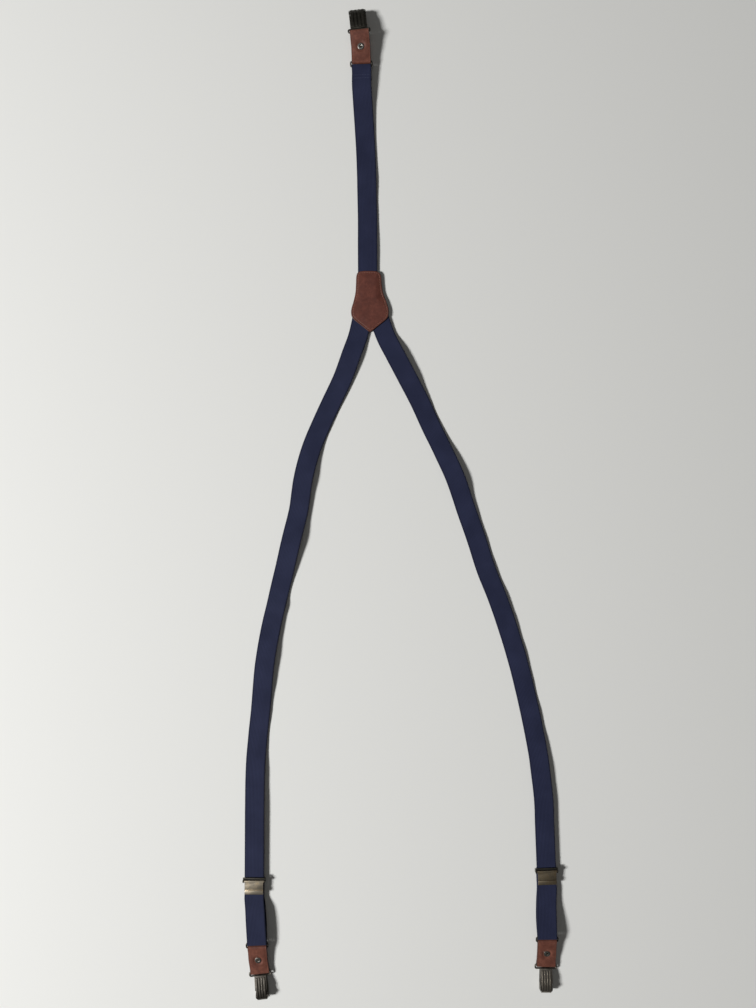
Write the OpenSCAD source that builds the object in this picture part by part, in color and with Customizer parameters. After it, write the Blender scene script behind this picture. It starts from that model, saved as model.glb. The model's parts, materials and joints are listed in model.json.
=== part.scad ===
// Y-back suspenders with three clip ends, laid flat with their outer faces up.
// Origin: the middle of the back patch, on its underside. +X right, +Y to the back clip, +Z up.
// Each end is a chain: elastic strap, metal ring, folded leather tab, clip with a hinged cover.

/* [Straps] */
// Width of the elastic strap
strap_w = 20; // [18:0.5:20]
// Thickness of the elastic strap
strap_t = 1; // [0.8:0.1:1]

/* [Patch] */
// Thickness of each of the patch's two leathers
patch_t = 1.3; // [1:0.1:1.3]

/* [Tabs] */
// Width of a leather tab
tab_w = 19.5; // [18:0.5:20]
// Thickness of the tab's leather
tab_t = 1.2; // [1:0.1:1.2]
// From the ring's bar to the clip's bail
tab_l = 27.5; // [24:0.5:30]
// Outer diameter of the hollow rivet's head
rivet_d = 6.6; // [6:0.2:7]
// Diameter of the hole through the rivet
rivet_hole_d = 2.4; // [2:0.2:3]

/* [Rings and clips] */
// Outer width of a ring and of a clip's bail
ring_w = 23.4; // [23.4:0.2:26]
// Diameter of the ring's wire
wire_d = 1.6; // [1.4:0.1:1.6]
// From the middle of one long bar of a ring to the other
ring_pitch = 4.5; // [4.5:0.1:5.2]
// Width of a front clip's body at its wide end
clip_w = 12.2; // [12:0.2:13.4]
// Width of a front clip's body at its tip
clip_tip_w = 9; // [9:0.2:10]
// How much wider the back clip's body is
back_clip_ratio = 1.4; // [1.2:0.1:1.5]
// From the bail's axis to the clip's tip
clip_l = 28.5; // [28:0.5:29]

/* [Slide adjusters] */
// Width of the adjuster's front plate
flap_w = 18.8; // [18:0.2:19.6]
// Outer width of the adjuster's bracket
bracket_w = 22.8; // [22.4:0.2:24]

/* [Hidden] */
$fn = 48;

navy = [0.13, 0.15, 0.24];
tan_leather = [0.42, 0.25, 0.20];
lining_leather = [0.30, 0.19, 0.15];
antique = [0.33, 0.31, 0.28];
antique_brass = [0.66, 0.59, 0.48];
nickel = [0.72, 0.70, 0.66];

wire_r = wire_d / 2;
fold_gap = 0.2;              // between a bar and the strap or leather folded round it
fold_r = wire_r + fold_gap;  // inside radius of each fold
strap_z = patch_t + strap_t / 2;  // middle of the straps inside the patch
fold_y = 37;                 // the straps fold along lines this far from the patch's middle
slide_z = 4;                 // middle of the strap where an adjuster slides

// Ends: [middle of the ring's first bar, yaw, ring and tab pitch, clip yaw, clip pitch,
// how much wider the clip's body is]
back_end = [[-8.7, 240.8, 5.5], 2, 12, 6, -20, back_clip_ratio];
left_end = [[-115.7, -658.6, 7], 182.5, -8, 187, 0, 1];
right_end = [[181.3, -651.6, 8.6], 180.7, -11, 179, 0, 1];

// Adjusters: [middle on the strap, yaw of the strap there]
left_slider = [[-119, -602, slide_z], -0.3];
right_slider = [[181.8, -592, slide_z], 2.2];

// Straps' middle lines, from the fold line outwards
back_route = [[-2.4, fold_y, strap_z], [-2.5, 59.5, 2], [-2.5, 84.5, 1.2], [-3, 109.5, 1],
    [-3.5, 134.5, 1.5], [-4.5, 159.5, 1.2], [-6, 184, 1.6], [-7.5, 206, 3.6], [-8.5, 222.5, 5.7]];
left_route = [[-12.9, -fold_y, strap_z], [-19, -54, 3.2], [-28, -78.5, 1.8], [-39.5, -103, 1.2],
    [-51, -128, 1], [-61, -153, 2.2], [-68.5, -182, 4.5], [-73.5, -215, 3],
    [-80.5, -244.5, 5.5], [-88, -276, 2.4], [-95.5, -307, 1.2], [-102.5, -338.5, 3],
    [-108.5, -375, 4], [-112.5, -417.5, 1.6], [-116, -451.5, 1.2], [-118, -481, 3]];
right_route = [[17, -fold_y, strap_z], [25.5, -54, 4.5], [38.5, -78.5, 4], [51.5, -103, 1.6],
    [63, -128, 1], [75, -153, 2.8], [88, -182, 4.5], [99.5, -215, 1.8], [110, -245, 1.4],
    [120, -276, 1.2], [132, -306.5, 2], [143, -338.5, 1.6], [154, -375.5, 1.2],
    [164, -417.5, 1.4], [169, -442, 2], [173, -464, 3], [175.5, -476, 3.5], [177.3, -486, 3.8]];

// Patch: right-hand and left-hand control points, joined by a smooth closed curve
patch_outline = [[-1.5, 31.6], [5.5, 31.3], [9.6, 30], [11.6, 26], [12.2, 18], [13.6, 9],
    [17, 0], [19.2, -8], [19, -14], [16.4, -18.6], [9, -24.6], [2, -30.2], [0, -31],
    [-2, -30.2], [-9, -24.6], [-16.4, -18.6], [-19, -14], [-19.2, -8], [-17, 0],
    [-15, 9], [-14.4, 18], [-14, 26], [-12.4, 30], [-8.5, 31.3]];

// Clip, in its own frame: +Y from the bail's axis to the tip, Z from that axis
clip_floor = -2.1;           // underside of the base
sheet_t = 0.9;
pin_at = [22.5, 3.9];        // hinge of the cover, [y, z]
clip_pin_r = 0.8;
pivot_gap = 0.05;            // running clearance of a hinge pin
ear_t = 0.8;

// Adjuster, in its own frame: +Y up the strap, Z from the floor
flap_pin_at = [6.4, 6];
flap_pin_r = 0.6;
barrel_r = 1.2;
bar_z = [1.3, 2.1];          // bottom and top of the bracket's rear bar
bracket_y = [4.8, 8];        // lower and upper edge of the ears
keeper = [[8.2, 5], [1.6, 1]];  // bar across the front of the strap: corner and size in Y and Z
bar_l = 2.6;
bracket_ear = 0.9;

// ---------- curves and ribbons ----------

function unit(v) = v / norm(v);
function spline(a, b, c, d, t) =
    0.5 * (2 * b + (c - a) * t + (2 * a - 5 * b + 4 * c - d) * t * t
        + (3 * b - a - 3 * c + d) * t * t * t);
function open_curve(p, n) = let (m = len(p) - 1)
    concat([for (i = [0:m - 1], k = [0:n - 1])
        spline(p[max(i - 1, 0)], p[i], p[i + 1], p[min(i + 2, m)], k / n)], [p[m]]);
function closed_curve(p, n) = let (m = len(p))
    [for (i = [0:m - 1], k = [0:n - 1])
        spline(p[(i + m - 1) % m], p[i], p[(i + 1) % m], p[(i + 2) % m], k / n)];
function heading(p, i) = unit(p[min(i + 1, len(p) - 1)] - p[max(i - 1, 0)]);
// Half the width of a strap at point i, level and square to its heading
function half_across(p, i) = let (t = heading(p, i))
    unit([t.y, -t.x, 0]) * strap_w / 2;
// At the fold line the strap's end is cut along X, and it squares up within four points
function cut_across(p) = let (t = heading(p, 0))
    [sign(t.y) * strap_w / 2 / abs(unit([t.x, t.y, 0]).y), 0, 0];
function half_width(p, i) = let (k = min(i / 4, 1))
    (1 - k) * cut_across(p) + k * half_across(p, i);

// Solid strip along points p, with half-width vectors h
module ribbon(p, h) {
    last = len(p) - 1;
    corners = [for (i = [0:last]) let (n = unit(cross(h[i], heading(p, i))) * strap_t / 2)
        each [p[i] - h[i] - n, p[i] + h[i] - n, p[i] + h[i] + n, p[i] - h[i] + n]];
    sides = [for (i = [0:last - 1], k = [0:3]) let (a = 4 * i + k, b = 4 * i + (k + 1) % 4)
        each [[a, a + 4, b + 4], [a, b + 4, b]]];
    ends = [[0, 1, 2], [0, 2, 3],
        [4 * last, 4 * last + 2, 4 * last + 1], [4 * last, 4 * last + 3, 4 * last + 2]];
    polyhedron(points = corners, faces = concat(sides, ends));
}

// Puts children at an end's first ring bar, +Y pointing outwards
module at_end(end) translate(end[0]) rotate([0, 0, end[1]]) children();
module at_ring(end) at_end(end) rotate([end[2], 0, 0]) children();
module at_tab(end) at_ring(end) translate([0, ring_pitch, 0]) children();
// The clip hangs on the far fold, which turns about the rivet to the clip's yaw
module at_far_fold(end) at_tab(end) translate([0, tab_l / 2, 0])
    rotate([0, 0, end[3] - end[1]]) translate([0, tab_l / 2, 0]) children();
module at_clip(end) at_far_fold(end) rotate([end[4] - end[2], 0, 0]) children();
module at_slider(slider) translate([slider[0].x, slider[0].y, 0])
    rotate([0, 0, slider[1]]) children();
// Extrudes an outline drawn in Y and Z to a width along X
module across(width) rotate([90, 0, 90]) translate([0, 0, -width / 2])
    linear_extrude(width) children();

// ---------- patch ----------

module patch_leather(z) translate([0, 0, z])
    linear_extrude(patch_t) polygon(closed_curve(patch_outline, 4));
module back_patch_lining() color(lining_leather) patch_leather(0);
module back_patch_front() color(tan_leather) patch_leather(patch_t + strap_t);

// The three strap ends butt together between the leathers
module yoke_strap_ends() {
    stub_y = fold_y - 0.8;
    color(navy) translate([0, 0, patch_t]) linear_extrude(strap_t) {
        polygon([[-12.4, stub_y], [7.6, stub_y], [7.6, -6], [-12.4, -6]]);
        polygon([[-23.4, -stub_y], [-2.2, -stub_y], [-0.2, -30.6], [-0.2, -8], [-13.3, -8]]);
        polygon([[5.5, -stub_y], [27.9, -stub_y], [13.8, -8], [0.2, -8], [0.2, -25.6]]);
    }
}

// ---------- straps ----------

// Fold of a strap round a ring's bar, in the end's own frame: front run, arc, back run
function strap_fold(front, back) = let (r = fold_r + strap_t / 2)
    concat(front, [for (a = [90:-15:-90]) [0, r * cos(a), r * sin(a)]], back);

module back_strap() {
    run = open_curve(back_route, 4);
    to_end = strap_fold([[0, -8, 0.8], [0, -3.5, 1.4]],
        [[0, -3.5, -1.3], [0, -8, -0.7], [0, -14, -1.2]]);
    end = back_end;
    fold = [for (p = to_end) let (c = cos(end[1]), s = sin(end[1]))
        end[0] + [c * p.x - s * p.y, s * p.x + c * p.y, p.z]];
    // The width keeps one direction right round the fold
    fold_half = [cos(end[1]), sin(end[1]), 0] * strap_w / 2;
    color(navy) ribbon(concat(run, fold),
        [for (i = [0:len(run) + len(fold) - 1])
            i < len(run) ? half_width(run, i) : fold_half]);
}

// A front strap runs through its adjuster and stops under the front plate
module front_strap(route, slider) {
    up = [-sin(slider[1]), cos(slider[1]), 0];
    p = concat(open_curve(route, 4), [slider[0] + up * 100, slider[0] + up * 90, slider[0] - up * 5]);
    color(navy) ribbon(p, [for (i = [0:len(p) - 1]) half_width(p, i)]);
}
module left_front_strap() front_strap(left_route, left_slider);
module right_front_strap() front_strap(right_route, right_slider);

// Lower loop: from the adjuster down to the ring, round its bar and back up behind
module strap_loop(end, slider) {
    c = cos(-end[1]);
    s = sin(-end[1]);
    up = [-sin(slider[1]), cos(slider[1]), 0];
    start = slider[0] - up * 8.5 - end[0];
    top = [c * start.x - s * start.y, s * start.x + c * start.y];  // in the end's own frame
    low = -end[0].z;
    rise = (end[0].z - 1.2) / 2;  // half the way from the floor up to the ring
    front = [[top.x, top.y, low + 2.7], [top.x * 0.8, top.y * 0.7, low + 2.7],
        [top.x * 0.25, -11, low + 2.7], [top.x * 0.1, -7, low + 2.7 + rise], [0, -3, 1.2]];
    back = [[0, -3, -1.6], [top.x * 0.1, -8, low + 0.1 + rise], [top.x * 0.3, -16, low + 0.7],
        [top.x * 0.8, top.y * 0.7, low + 0.7], [top.x, top.y, low + 0.7]];
    p = strap_fold(front, back);
    last = len(p) - 1;
    skew = slider[1] + 180 - end[1];  // its two ends are cut square to the adjuster
    cut = [cos(skew), sin(skew), 0] * strap_w / 2;
    color(navy) at_end(end)
        ribbon(p, [for (i = [0:last]) i == 0 || i == last ? cut : [strap_w / 2, 0, 0]]);
}
module left_strap_loop() strap_loop(left_end, left_slider);
module right_strap_loop() strap_loop(right_end, right_slider);

// The strap's sewn end, folded round the adjuster's rear bar
module strap_end(slider) {
    mid = (bar_z[0] + bar_z[1]) / 2;
    r_in = (bar_z[1] - bar_z[0]) / 2 + 0.1;
    r_out = r_in + strap_t;
    bar_end = bracket_y[0] + bar_l;
    foot = -8;
    tail = -2;
    color(navy) at_slider(slider) across(strap_w) difference() {
        union() {
            translate([bar_end, mid]) circle(r_out);
            translate([foot, mid - r_out]) square([bar_end - foot, strap_t]);
            translate([tail, mid - r_out]) square([bar_end - tail, 2 * r_out]);
        }
        translate([bar_end, mid]) circle(r_in);
        translate([bracket_y[0] - 0.8, mid - r_in]) square([bar_l + 0.8, 2 * r_in]);
    }
}
module left_strap_end() strap_end(left_slider);
module right_strap_end() strap_end(right_slider);

// ---------- slide adjusters ----------

// Bracket: rear bar behind the strap, keeper bar in front of it, and an ear at each side
module slider_bracket(slider) {
    depth = bracket_y[1] - bracket_y[0];
    color(antique) at_slider(slider) difference() {
        union() {
            translate([-bracket_w / 2, bracket_y[0], bar_z[0]])
                cube([bracket_w, bar_l, bar_z[1] - bar_z[0]]);
            across(bracket_w) translate(keeper[0]) square(keeper[1]);
            for (side = [-1, 1]) translate([side * (bracket_w - bracket_ear) / 2, 0, 0])
                across(bracket_ear) {
                translate([bracket_y[1] - 0.5, keeper[0].y]) square([1, keeper[1].y]);
                translate([bracket_y[0], bar_z[0]]) square([depth, flap_pin_at.y - bar_z[0]]);
                translate(flap_pin_at) circle(depth / 2);
            }
        }
        translate([0, flap_pin_at.x, flap_pin_at.y]) rotate([0, 90, 0])
            cylinder(h = bracket_w + 2, r = flap_pin_r, center = true);
    }
}
module left_slider_bracket() slider_bracket(left_slider);
module right_slider_bracket() slider_bracket(right_slider);

// Front plate: barrel on the pin, plate, groove, thumb lip, and teeth towards the strap
module slider_flap(slider) {
    barrel_l = bracket_w - 2 * bracket_ear - 0.4;
    y = flap_pin_at.x;
    z = flap_pin_at.y;
    color(antique_brass) at_slider(slider) difference() {
        union() {
            across(barrel_l) translate(flap_pin_at) circle(barrel_r);
            across(flap_w) polygon([[y, z + barrel_r], [y - 4, z + 1.25], [y - 7.8, z + 1.05],
                [y - 8, z + 0.35], [y - 8.6, z + 0.35], [y - 8.8, z + 1.2], [y - 11, z + 1.4],
                [y - 12.8, z + 1.25], [y - 13.4, z + 0.6], [y - 13.2, z + 0.1],
                [y - 9.2, z], [y - 7.6, z], [y - 4, z + 0.25], [y, z - 0.2]]);
            for (i = [-4:4]) translate([i * 2, 0, 0]) across(1.2)
                polygon([[y - 1, z + 0.4], [y - 2, z + 0.4], [y - 1.05, z - 1]]);
        }
        translate([0, y, z]) rotate([0, 90, 0])
            cylinder(h = bracket_w, r = flap_pin_r + pivot_gap, center = true);
    }
}
module left_slider_flap() slider_flap(left_slider);
module right_slider_flap() slider_flap(right_slider);

module slider_pin(slider) {
    color(antique) at_slider(slider) translate([0, flap_pin_at.x, flap_pin_at.y])
        rotate([0, 90, 0]) {
            cylinder(h = bracket_w, r = flap_pin_r, center = true);
            for (side = [-1, 1]) translate([0, 0, side * (bracket_w / 2 + 0.15)])
                cylinder(h = 0.3, r = 1, center = true);
        }
}
module left_slider_pin() slider_pin(left_slider);
module right_slider_pin() slider_pin(right_slider);

// ---------- rings ----------

// Closed loop of round wire about the rectangle from (0, 0) to (0, length)
module wire_loop(length) {
    bend_r = 1.3;
    side = ring_w / 2 - wire_r;
    for (end = [0, 1]) translate([0, end * length, 0]) {
        rotate([0, 90, 0]) cylinder(h = 2 * (side - bend_r), r = wire_r, center = true);
        for (turn = [-1, 1]) translate([turn * (side - bend_r), bend_r * (1 - 2 * end), 0])
            rotate([0, 0, end == 0 ? (turn == 1 ? -90 : 180) : (turn == 1 ? 0 : 90)])
                rotate_extrude(angle = 90) translate([bend_r, 0]) circle(wire_r);
    }
    for (turn = [-1, 1]) translate([turn * side, bend_r, 0]) rotate([-90, 0, 0])
        cylinder(h = length - 2 * bend_r, r = wire_r);
}
module ring(end) color(antique) at_ring(end) wire_loop(ring_pitch);
module back_ring() ring(back_end);
module left_ring() ring(left_end);
module right_ring() ring(right_end);

// ---------- leather tabs and rivets ----------

// Half a tab, from one fold to its middle
module half_tab() {
    fold_out = fold_r + tab_t;
    across(tab_w) difference() {
        union() {
            circle(fold_out);
            polygon([[0, -fold_out], [3.5, -tab_t - 0.4], [7, -tab_t], [tab_l / 2 + 0.5, -tab_t],
                [tab_l / 2 + 0.5, tab_t], [7, tab_t], [3.5, tab_t + 0.4], [0, fold_out]]);
        }
        circle(fold_r);
        polygon([[0, -fold_r], [4, -0.15], [6, 0], [4, 0.15], [0, fold_r]]);
    }
}
module leather_tab(end) {
    color(tan_leather) difference() {
        union() {
            at_tab(end) half_tab();
            at_far_fold(end) rotate([0, 0, 180]) half_tab();
        }
        at_tab(end) translate([0, tab_l / 2, 0])
            cylinder(h = 8, r = rivet_hole_d / 2 + 0.5, center = true);
    }
}
module back_leather_tab() leather_tab(back_end);
module left_leather_tab() leather_tab(left_end);
module right_leather_tab() leather_tab(right_end);

// Hollow rivet: a tube through both layers with a domed head, closed behind
module rivet(end) {
    r = rivet_hole_d / 2;
    color(nickel) at_tab(end) translate([0, tab_l / 2, 0])
        rotate_extrude() polygon([[0, -tab_t - 0.6], [rivet_d / 2 - 0.9, -tab_t - 0.6],
            [rivet_d / 2 - 0.1, -tab_t - 0.3], [rivet_d / 2, -tab_t], [r + 0.5, -tab_t],
            [r + 0.5, tab_t], [rivet_d / 2, tab_t], [rivet_d / 2 - 0.1, tab_t + 0.3],
            [rivet_d / 2 - 0.9, tab_t + 0.6], [r + 0.7, tab_t + 0.6], [r, tab_t + 0.3],
            [r, -tab_t], [0, -tab_t]]);
}
module back_rivet() rivet(back_end);
module left_rivet() rivet(left_end);
module right_rivet() rivet(right_end);

// ---------- clips ----------

// Half the width of a clip's body
function clip_half(end) = clip_w / 2 * end[5];

// Plan of a clip's body: tapered, with a rounded tip
module clip_plan(end, y0, y1) {
    tip_r = 3;
    half = clip_half(end);
    half_tip = clip_tip_w / 2 * end[5];
    polygon(concat([[-half, y0], [half, y0], [half, y1 - 9]],
        [for (a = [0:15:90]) [half_tip - tip_r + tip_r * cos(a), y1 - tip_r + tip_r * sin(a)]],
        [for (a = [90:15:180]) [-half_tip + tip_r + tip_r * cos(a), y1 - tip_r + tip_r * sin(a)]],
        [[-half, y1 - 9]]));
}

// Base: bail, neck, floor plate, ears for the pin and a toothed toe
module clip_base(end) {
    bail_l = 3.9;
    top = clip_floor + sheet_t;
    color(antique) at_clip(end) {
        wire_loop(bail_l);
        difference() {
            union() {
                translate([0, 0, clip_floor]) linear_extrude(sheet_t) clip_plan(end, 6.5, clip_l);
                across(2 * clip_half(end)) polygon([[bail_l, -0.4], [bail_l, 0.5], [bail_l + 1.2, 0.3],
                    [7.8, top], [9, top], [9, clip_floor], [7, clip_floor]]);
                for (side = [-1, 1])
                    translate([side * (clip_half(end) - ear_t / 2), 0, 0]) across(ear_t) {
                    polygon([[17, clip_floor + 0.1], [19.6, pin_at.y + 0.6], [pin_at.x, pin_at.y],
                        [25.4, pin_at.y], [26, clip_floor + 0.1]]);
                    translate(pin_at) circle(2);
                }
                // Toe: a low wall of teeth facing the cover's jaw
                for (i = [-2:2]) translate([i * 1.5 * end[5], 0, 0]) across(0.9 * end[5])
                    polygon([[27, top - 0.1], [clip_l - 0.15, top - 0.1], [clip_l - 0.15, top + 0.9],
                        [clip_l - 0.6, top + 1.3]]);
            }
            translate([0, pin_at.x, pin_at.y]) rotate([0, 90, 0])
                cylinder(h = 2 * ring_w, r = clip_pin_r, center = true);
        }
    }
}
module back_clip_base() clip_base(back_end);
module left_clip_base() clip_base(left_end);
module right_clip_base() clip_base(right_end);

// Cover: ribbed top, cheeks inside the ears, and a toothed jaw under the pin
module clip_cover(end) {
    y = pin_at.x;
    z = pin_at.y;
    inner = 2 * (clip_half(end) - ear_t - 0.2);
    cheek = 0.8;
    jaw_r = 5;
    jaw = [y + jaw_r * cos(-75), z + jaw_r * sin(-75)];
    color(antique) at_clip(end) difference() {
        union() {
            // Wide part behind the ears
            across(2 * clip_half(end)) polygon([[3.6, 1.3], [3.2, 1.9], [3.8, 2.3], [9, 3.6],
                [13, 4.6], [16.4, 5.2], [16.4, 4.4], [13, 3.8], [9, 2.8]]);
            // Narrow part between the ears, up to the nose
            across(inner) polygon([[16, 5.15], [19, 5.6], [22, 5.6], [24.6, 5.1], [26.6, 3.9],
                [26.9, 2.9], [26.1, 3], [24.8, 4.2], [22, 4.8], [19, 4.8], [16, 4.35]]);
            // Ribs along the top
            for (i = [-1.5:1:1.5]) translate([i * 2.6 * end[5], 0, 0]) across(1.1 * end[5])
                polygon([[4.6, 2.3], [5.2, 3], [9, 4.2], [13, 5.3], [16.4, 5.85], [19, 6.2], [22, 6.2],
                    [24.6, 5.6], [25.8, 4.7], [22, 5.2], [16, 4.7], [9, 3.1], [4.6, 1.9]]);
            for (side = [-1, 1]) translate([side * (inner - cheek) / 2, 0, 0]) across(cheek)
                polygon([[7, 2.4], [13, 4.2], [18, 5], [22, 5.2], [25, 4.4], [25.6, 3.2],
                    [y + 2.2, z - 1.6], [y, z - 2.2], [y - 2.4, z - 1.2], [15, 2.6], [9, 1.6]]);
            // Jaw
            across(inner - 0.2) polygon([[y - 0.9, z - 0.9], [y + 1.7, z - 0.9], [jaw.x + 0.5, jaw.y + 1],
                [jaw.x + 0.2, jaw.y + 0.5], [jaw.x - 0.9, jaw.y + 0.5], [y - 1.1, z - 1.8]]);
            for (i = [-3:3]) translate([i * 1.35 * end[5], 0, 0]) across(0.8 * end[5])
                polygon([[jaw.x - 0.8, jaw.y + 0.6], [jaw.x + 0.2, jaw.y + 0.6], [jaw.x, jaw.y]]);
        }
        translate([0, y, z]) rotate([0, 90, 0])
            cylinder(h = 2 * ring_w, r = clip_pin_r + pivot_gap, center = true);
    }
}
module back_clip_cover() clip_cover(back_end);
module left_clip_cover() clip_cover(left_end);
module right_clip_cover() clip_cover(right_end);

module clip_pin(end) {
    length = 2 * clip_half(end);
    color(nickel) at_clip(end) translate([0, pin_at.x, pin_at.y]) rotate([0, 90, 0]) {
        cylinder(h = length, r = clip_pin_r, center = true);
        for (side = [-1, 1]) translate([0, 0, side * (length / 2 + 0.15)])
            cylinder(h = 0.3, r = 1.2, center = true);
    }
}
module back_clip_pin() clip_pin(back_end);
module left_clip_pin() clip_pin(left_end);
module right_clip_pin() clip_pin(right_end);

back_patch_front();
back_patch_lining();
yoke_strap_ends();
back_strap();
left_front_strap();
right_front_strap();
left_strap_loop();
right_strap_loop();
left_strap_end();
right_strap_end();
left_slider_bracket();
right_slider_bracket();
left_slider_flap();
right_slider_flap();
left_slider_pin();
right_slider_pin();
back_ring();
left_ring();
right_ring();
back_leather_tab();
left_leather_tab();
right_leather_tab();
back_rivet();
left_rivet();
right_rivet();
back_clip_base();
left_clip_base();
right_clip_base();
back_clip_cover();
left_clip_cover();
right_clip_cover();
back_clip_pin();
left_clip_pin();
right_clip_pin();
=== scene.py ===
import json
import math

import bmesh
import bpy
import numpy as np
from mathutils import Matrix, Vector

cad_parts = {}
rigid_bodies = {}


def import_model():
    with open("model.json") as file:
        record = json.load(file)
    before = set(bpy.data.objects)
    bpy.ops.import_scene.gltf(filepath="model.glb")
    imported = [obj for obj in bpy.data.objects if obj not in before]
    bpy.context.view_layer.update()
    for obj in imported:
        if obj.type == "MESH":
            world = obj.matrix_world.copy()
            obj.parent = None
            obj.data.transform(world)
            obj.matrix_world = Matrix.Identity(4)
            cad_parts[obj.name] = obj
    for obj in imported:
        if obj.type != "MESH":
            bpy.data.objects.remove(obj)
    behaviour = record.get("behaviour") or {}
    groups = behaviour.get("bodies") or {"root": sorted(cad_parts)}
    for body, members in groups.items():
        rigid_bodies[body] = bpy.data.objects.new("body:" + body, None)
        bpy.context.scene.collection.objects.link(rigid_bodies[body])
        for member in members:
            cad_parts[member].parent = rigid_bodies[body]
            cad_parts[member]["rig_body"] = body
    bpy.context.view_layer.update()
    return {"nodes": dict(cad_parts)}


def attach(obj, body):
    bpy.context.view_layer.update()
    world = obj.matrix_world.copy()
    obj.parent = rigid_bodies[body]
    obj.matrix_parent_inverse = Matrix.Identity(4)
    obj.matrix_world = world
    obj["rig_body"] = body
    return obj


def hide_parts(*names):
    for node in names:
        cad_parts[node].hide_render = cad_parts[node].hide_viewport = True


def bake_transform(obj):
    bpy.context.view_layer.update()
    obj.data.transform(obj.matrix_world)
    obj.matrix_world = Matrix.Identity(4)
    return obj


for thing in list(bpy.data.objects):
    bpy.data.objects.remove(thing)
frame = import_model()
nodes = frame["nodes"]
mm = 0.001  # every length below is in millimetres until a mesh is made
print("frame loaded:", len(nodes), "nodes")

# studio: camera straight above, soft light from the left, plain pale floor

studio = {
    "aim": (8.3, -208.5),  # the point of the floor under the camera
    "height": 750,
    "lens": 25.9,
    "floorColour": (0.74, 0.74, 0.715, 1),
    "floorSize": 9,
    "keyFrom": (-2.8, -0.6, 2.2),
    "keySize": 0.68,
    "keyPower": 172,
    "topFrom": (0.1, 0.5, 2.4),
    "topSize": 1.6,
    "topPower": 2.5,
    "roomColour": (1.0, 0.98, 0.95, 1),
    "roomLight": 0.06,
}


def addLight(name, place, target, size, power):
    data = bpy.data.lights.new(name, "AREA")
    data.size = size
    data.energy = power
    lamp = bpy.data.objects.new(name, data)
    bpy.context.scene.collection.objects.link(lamp)
    lamp.location = place
    lamp.rotation_euler = (Vector(target) - Vector(place)).to_track_quat("-Z", "Y").to_euler()


def buildStudio():
    scene = bpy.context.scene
    scene.view_settings.view_transform = "Standard"
    data = bpy.data.cameras.new("overhead")
    data.lens = studio["lens"]
    data.sensor_width = 36
    camera = bpy.data.objects.new("overhead", data)
    scene.collection.objects.link(camera)
    middle = Vector((studio["aim"][0] * mm, studio["aim"][1] * mm, 0))
    camera.location = middle + Vector((0, 0, studio["height"] * mm))
    scene.camera = camera
    for name, light in (("windowLight", "key"), ("ceilingLight", "top")):
        place = middle + Vector(studio[f"{light}From"])
        addLight(name, place, middle, studio[f"{light}Size"], studio[f"{light}Power"])
    world = bpy.data.worlds.new("room")
    world.use_nodes = True
    background = world.node_tree.nodes["Background"]
    background.inputs["Color"].default_value = studio["roomColour"]
    background.inputs["Strength"].default_value = studio["roomLight"]
    scene.world = world
    half = studio["floorSize"] / 2
    mesh = bpy.data.meshes.new("floor")
    corners = [(-half, -half), (half, -half), (half, half), (-half, half)]
    mesh.from_pydata([(middle.x + x, middle.y + y, -0.0002) for x, y in corners], [], [(0, 1, 2, 3)])
    floor = bpy.data.objects.new("floor", mesh)
    scene.collection.objects.link(floor)
    paint = bpy.data.materials.new("paleFloor")
    paint.use_nodes = True
    shader = paint.node_tree.nodes["Principled BSDF"]
    shader.inputs["Base Color"].default_value = studio["floorColour"]
    shader.inputs["Roughness"].default_value = 0.9
    shader.inputs["Specular IOR Level"].default_value = 0.2
    mesh.materials.append(paint)


buildStudio()
print("studio ready")

# shader groups that the materials share


def setSocket(tree, socket, value):
    if isinstance(value, bpy.types.NodeSocket):
        tree.links.new(value, socket)
    else:
        socket.default_value = value


def calc(tree, operation, first, second=None, third=None):
    node = tree.nodes.new("ShaderNodeMath")
    node.operation = operation
    for socket, value in zip(node.inputs, (first, second, third)):
        if value is not None:
            setSocket(tree, socket, value)
    return node.outputs[0]


def ramp(tree, value, low, high, start=0.0, end=1.0):
    # smooth step from start to end as value goes from low to high
    node = tree.nodes.new("ShaderNodeMapRange")
    node.interpolation_type = "SMOOTHSTEP"
    labels = ("Value", "From Min", "From Max", "To Min", "To Max")
    for label, amount in zip(labels, (value, low, high, start, end)):
        setSocket(tree, node.inputs[label], amount)
    return node.outputs["Result"]


def cloud(tree, place, scale, detail, roughness):
    node = tree.nodes.new("ShaderNodeTexNoise")
    setSocket(tree, node.inputs["Vector"], place)
    setSocket(tree, node.inputs["Scale"], scale)
    node.inputs["Detail"].default_value = detail
    node.inputs["Roughness"].default_value = roughness
    return node.outputs["Fac"]


def mixColour(tree, factor, low, high):
    node = tree.nodes.new("ShaderNodeMix")
    node.data_type = "RGBA"
    colours = [socket for socket in node.inputs if socket.type == "RGBA"]
    setSocket(tree, node.inputs["Factor"], factor)
    setSocket(tree, colours[0], low)
    setSocket(tree, colours[1], high)
    return next(socket for socket in node.outputs if socket.type == "RGBA")


def newGroup(name, inputs, outputs):
    group = bpy.data.node_groups.new(name, "ShaderNodeTree")
    for label, kind, value in inputs:
        socket = group.interface.new_socket(name=label, in_out="INPUT", socket_type=kind)
        if value is not None:
            socket.default_value = value
    for label in outputs:
        group.interface.new_socket(name=label, in_out="OUTPUT", socket_type="NodeSocketFloat")
    return group, group.nodes.new("NodeGroupInput").outputs, group.nodes.new("NodeGroupOutput").inputs


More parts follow.
